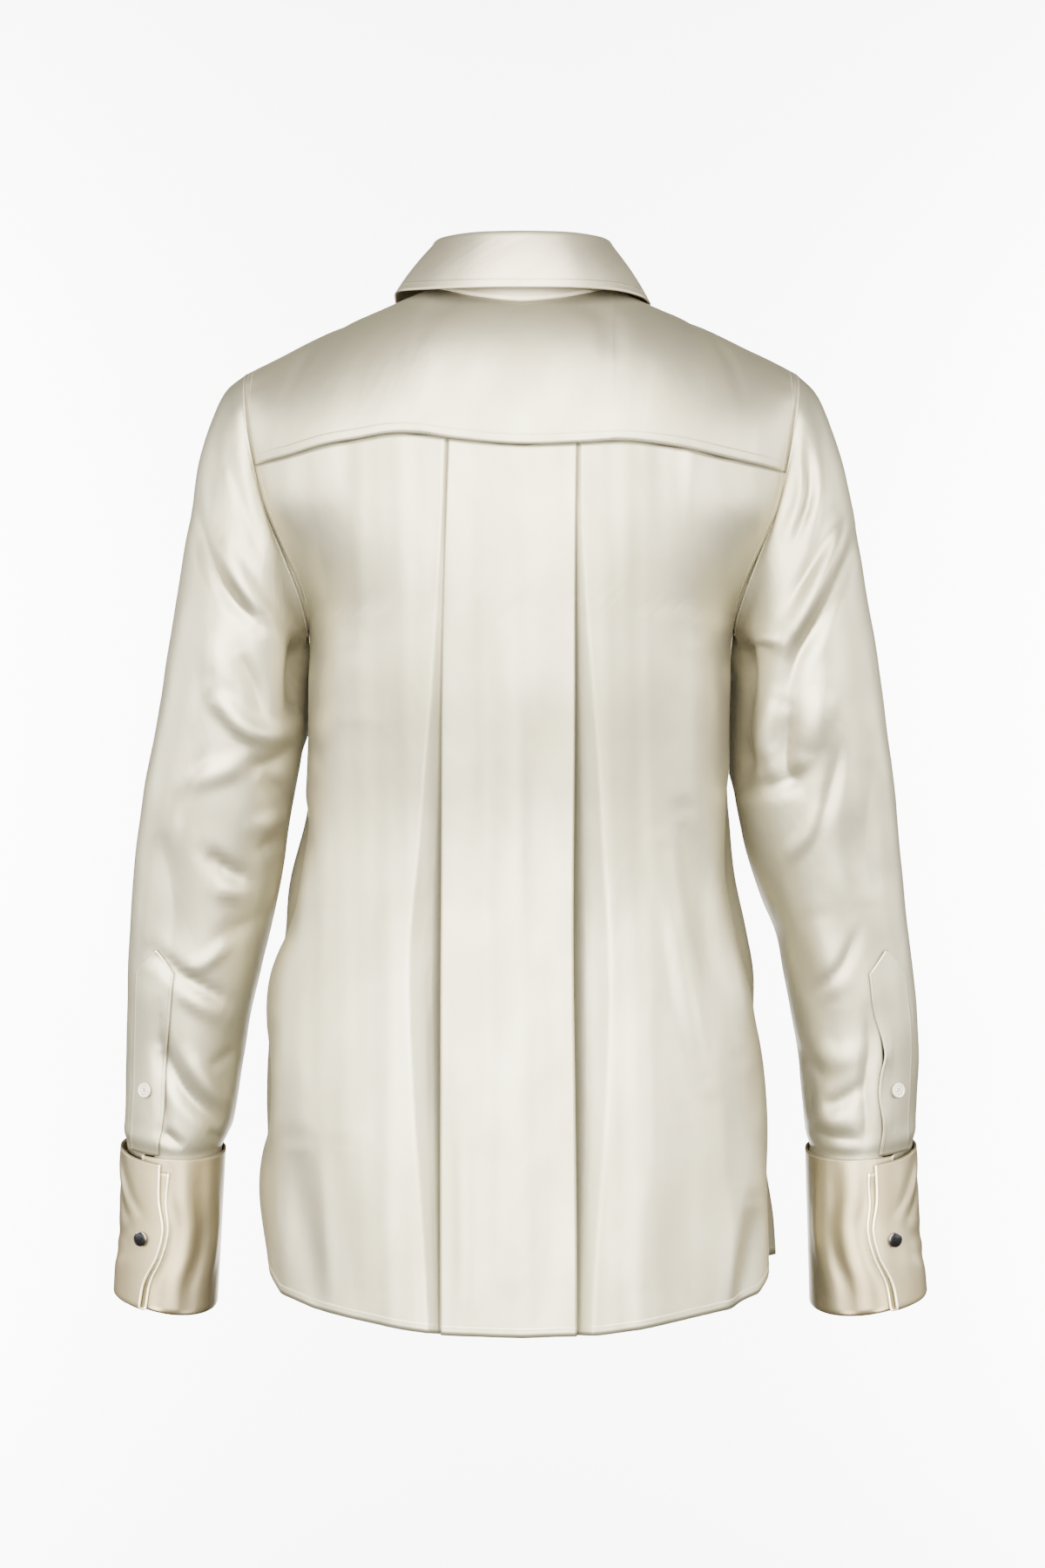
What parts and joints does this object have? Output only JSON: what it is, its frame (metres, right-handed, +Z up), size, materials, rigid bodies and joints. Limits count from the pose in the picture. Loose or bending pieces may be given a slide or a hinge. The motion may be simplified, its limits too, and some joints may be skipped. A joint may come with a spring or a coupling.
{
  "type": "silk shirt blouse, worn shape",
  "caption": "Long-sleeved silk blouse with collar, back yoke, box pleat, shirt-tail hem and turned-back cuffs, hollow as worn",
  "frame": {"origin": "centre of the neck opening between the shoulders, level with the back neck seam, where the wearer holds the blouse", "axes": "+Z up, the front faces -Y, the back with its pleat faces +Y, +X is the wearer's left"},
  "size_m": [0.5548, 0.2408, 0.7292],
  "materials": {
    "silk": "ivory silk satin",
    "cuff_silk": "warm ivory silk satin, interlined",
    "button": "ivory polished button",
    "stud": "black enamel in a polished metal rim"
  },
  "bodies": {
    "root": {"back": "silk", "yoke": "silk", "front_left": "silk", "front_right": "silk", "front_band": "silk", "collar_stand": "silk", "collar_fall": "silk", "sleeve_left": "silk", "sleeve_right": "silk", "sleeve_placket_left": "silk", "sleeve_placket_right": "silk", "cuff_left": "cuff_silk", "cuff_right": "cuff_silk", "stand_button": "button", "front_button_1": "button", "front_button_2": "button", "front_button_3": "button", "front_button_4": "button", "front_button_5": "button", "front_button_6": "button", "sleeve_button_left": "button", "sleeve_button_right": "button", "cuff_stud_left": "stud", "cuff_stud_right": "stud"}
  },
  "joints": []
}
